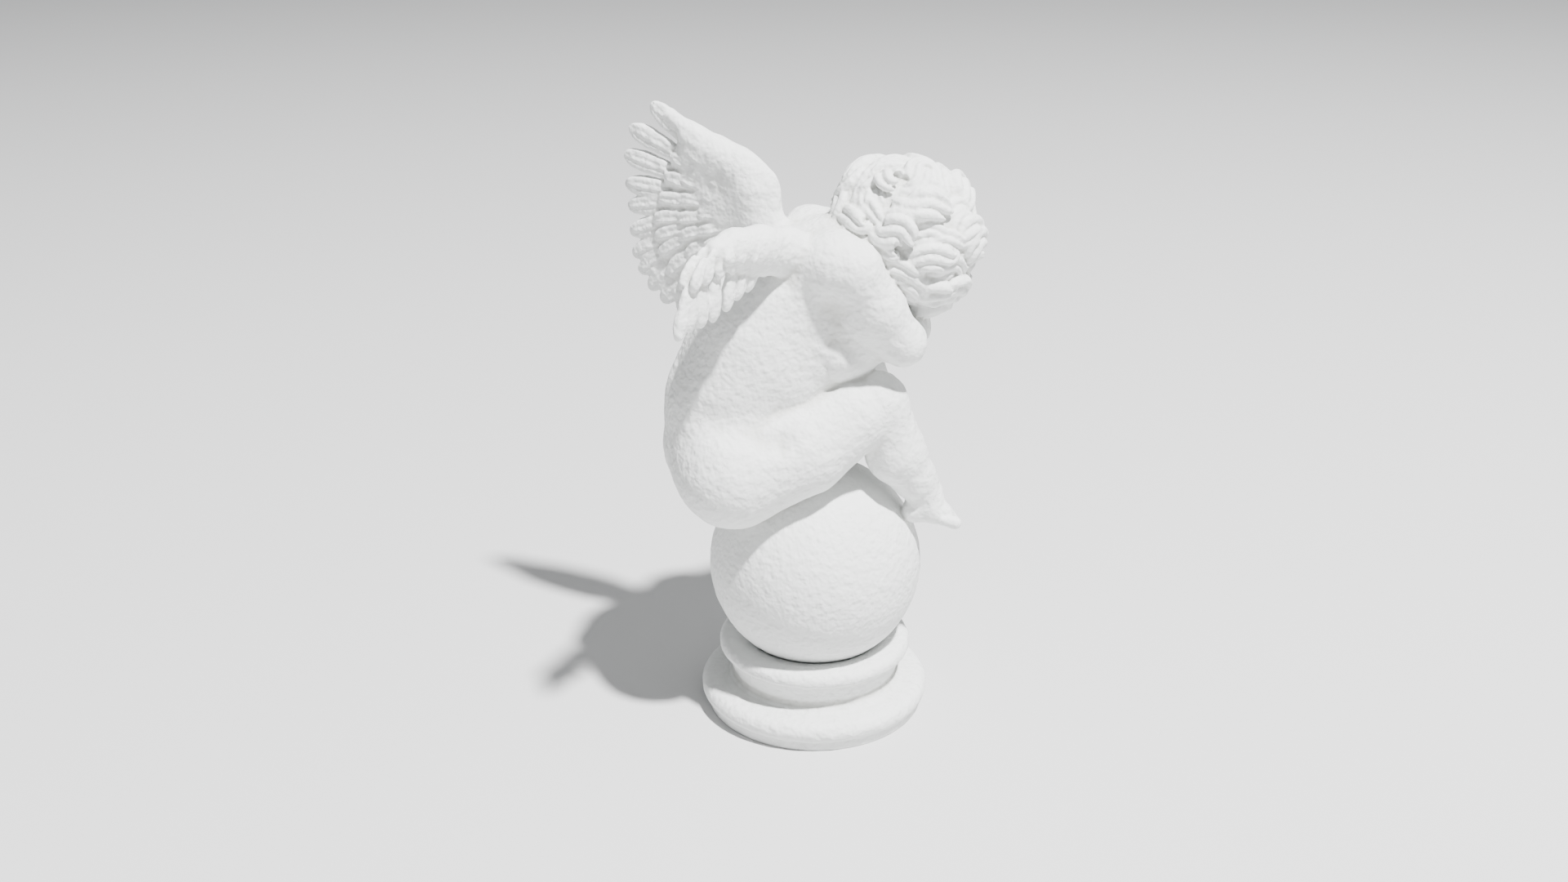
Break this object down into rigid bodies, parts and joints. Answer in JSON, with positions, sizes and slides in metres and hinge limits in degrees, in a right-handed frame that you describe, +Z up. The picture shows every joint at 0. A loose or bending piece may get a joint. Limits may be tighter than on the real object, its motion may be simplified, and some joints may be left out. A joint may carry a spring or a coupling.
{
  "type": "stone putto statue",
  "caption": "Winged stone cherub asleep on its folded arms and knees, seated on a ball over a round turned plinth.",
  "frame": {"origin": "centre of the plinth's underside", "axes": "+Z up, -Y the way the cherub's knees point, +X its left side"},
  "size_m": [0.222, 0.2852, 0.5273],
  "materials": {
    "carved_stone": "pale cast stone, matt and finely pitted",
    "turned_stone": "pale cast stone, matt and finely pitted"
  },
  "bodies": {
    "root": {"putto_on_globe": "carved_stone", "turned_plinth": "turned_stone"}
  },
  "joints": []
}
